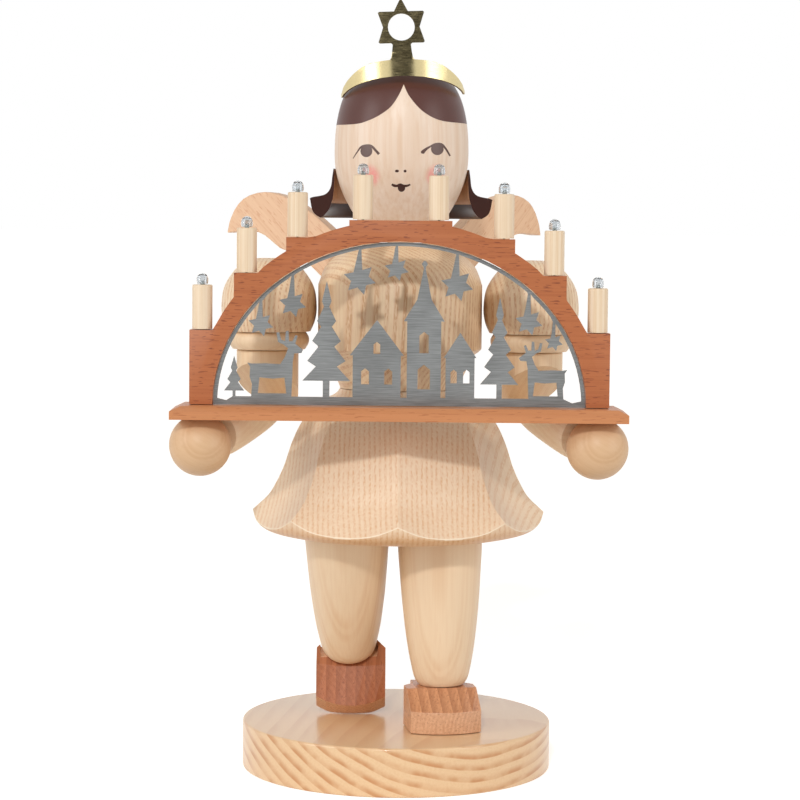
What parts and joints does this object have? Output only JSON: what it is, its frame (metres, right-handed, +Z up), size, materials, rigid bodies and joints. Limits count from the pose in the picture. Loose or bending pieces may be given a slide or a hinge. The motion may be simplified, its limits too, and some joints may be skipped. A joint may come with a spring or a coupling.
{
  "type": "angel candle holder",
  "caption": "Turned wooden angel with ball hands that carries a stepped arch of small electric candles round a cut steel panel, on a round plate.",
  "frame": {"origin": "centre of the round plate's underside", "axes": "+Z up, -Y the way the figure faces, +X to the right of a viewer in front of it"},
  "size_m": [0.183, 0.1703, 0.32],
  "materials": {
    "base_plate": "satin lacquer",
    "shoe": "satin",
    "leg": "satin",
    "skirt": "satin",
    "torso": "satin",
    "head": "satin with gloss paint for hair and face",
    "hair_ring": "gloss brown stain",
    "crown": "polished",
    "wing": "satin",
    "sleeve": "satin",
    "cuff": "satin",
    "arm": "satin",
    "hand": "satin",
    "arch_board": "satin stain",
    "arch_frame": "satin stain",
    "silhouette_panel": "brushed along its length",
    "candle": "satin",
    "bulb": "clear",
    "lamp_mount": "clear green",
    "wiring_loom": "matte",
    "groove_cover": "plain",
    "lead_gland": "matte"
  },
  "bodies": {
    "root": {"base_plate": "base_plate", "skirt": "skirt", "torso": "torso", "head": "head", "hair_ring": "hair_ring", "crown": "crown", "arch_board": "arch_board", "arch_frame": "arch_frame", "silhouette_panel": "silhouette_panel", "wiring_loom": "wiring_loom", "groove_cover": "groove_cover", "lead_gland": "lead_gland", "left_shoe": "shoe", "left_leg": "leg", "left_wing": "wing", "left_sleeve": "sleeve", "left_cuff": "cuff", "left_upper_arm": "arm", "left_forearm": "arm", "left_hand": "hand", "right_shoe": "shoe", "right_leg": "leg", "right_wing": "wing", "right_sleeve": "sleeve", "right_cuff": "cuff", "right_upper_arm": "arm", "right_forearm": "arm", "right_hand": "hand", "candle_1": "candle", "bulb_1": "bulb", "lamp_mount_1": "lamp_mount", "candle_2": "candle", "bulb_2": "bulb", "lamp_mount_2": "lamp_mount", "candle_3": "candle", "bulb_3": "bulb", "lamp_mount_3": "lamp_mount", "candle_4": "candle", "bulb_4": "bulb", "lamp_mount_4": "lamp_mount", "candle_5": "candle", "bulb_5": "bulb", "lamp_mount_5": "lamp_mount", "candle_6": "candle", "bulb_6": "bulb", "lamp_mount_6": "lamp_mount", "candle_7": "candle", "bulb_7": "bulb", "lamp_mount_7": "lamp_mount", "candle_8": "candle", "bulb_8": "bulb", "lamp_mount_8": "lamp_mount"}
  },
  "joints": []
}
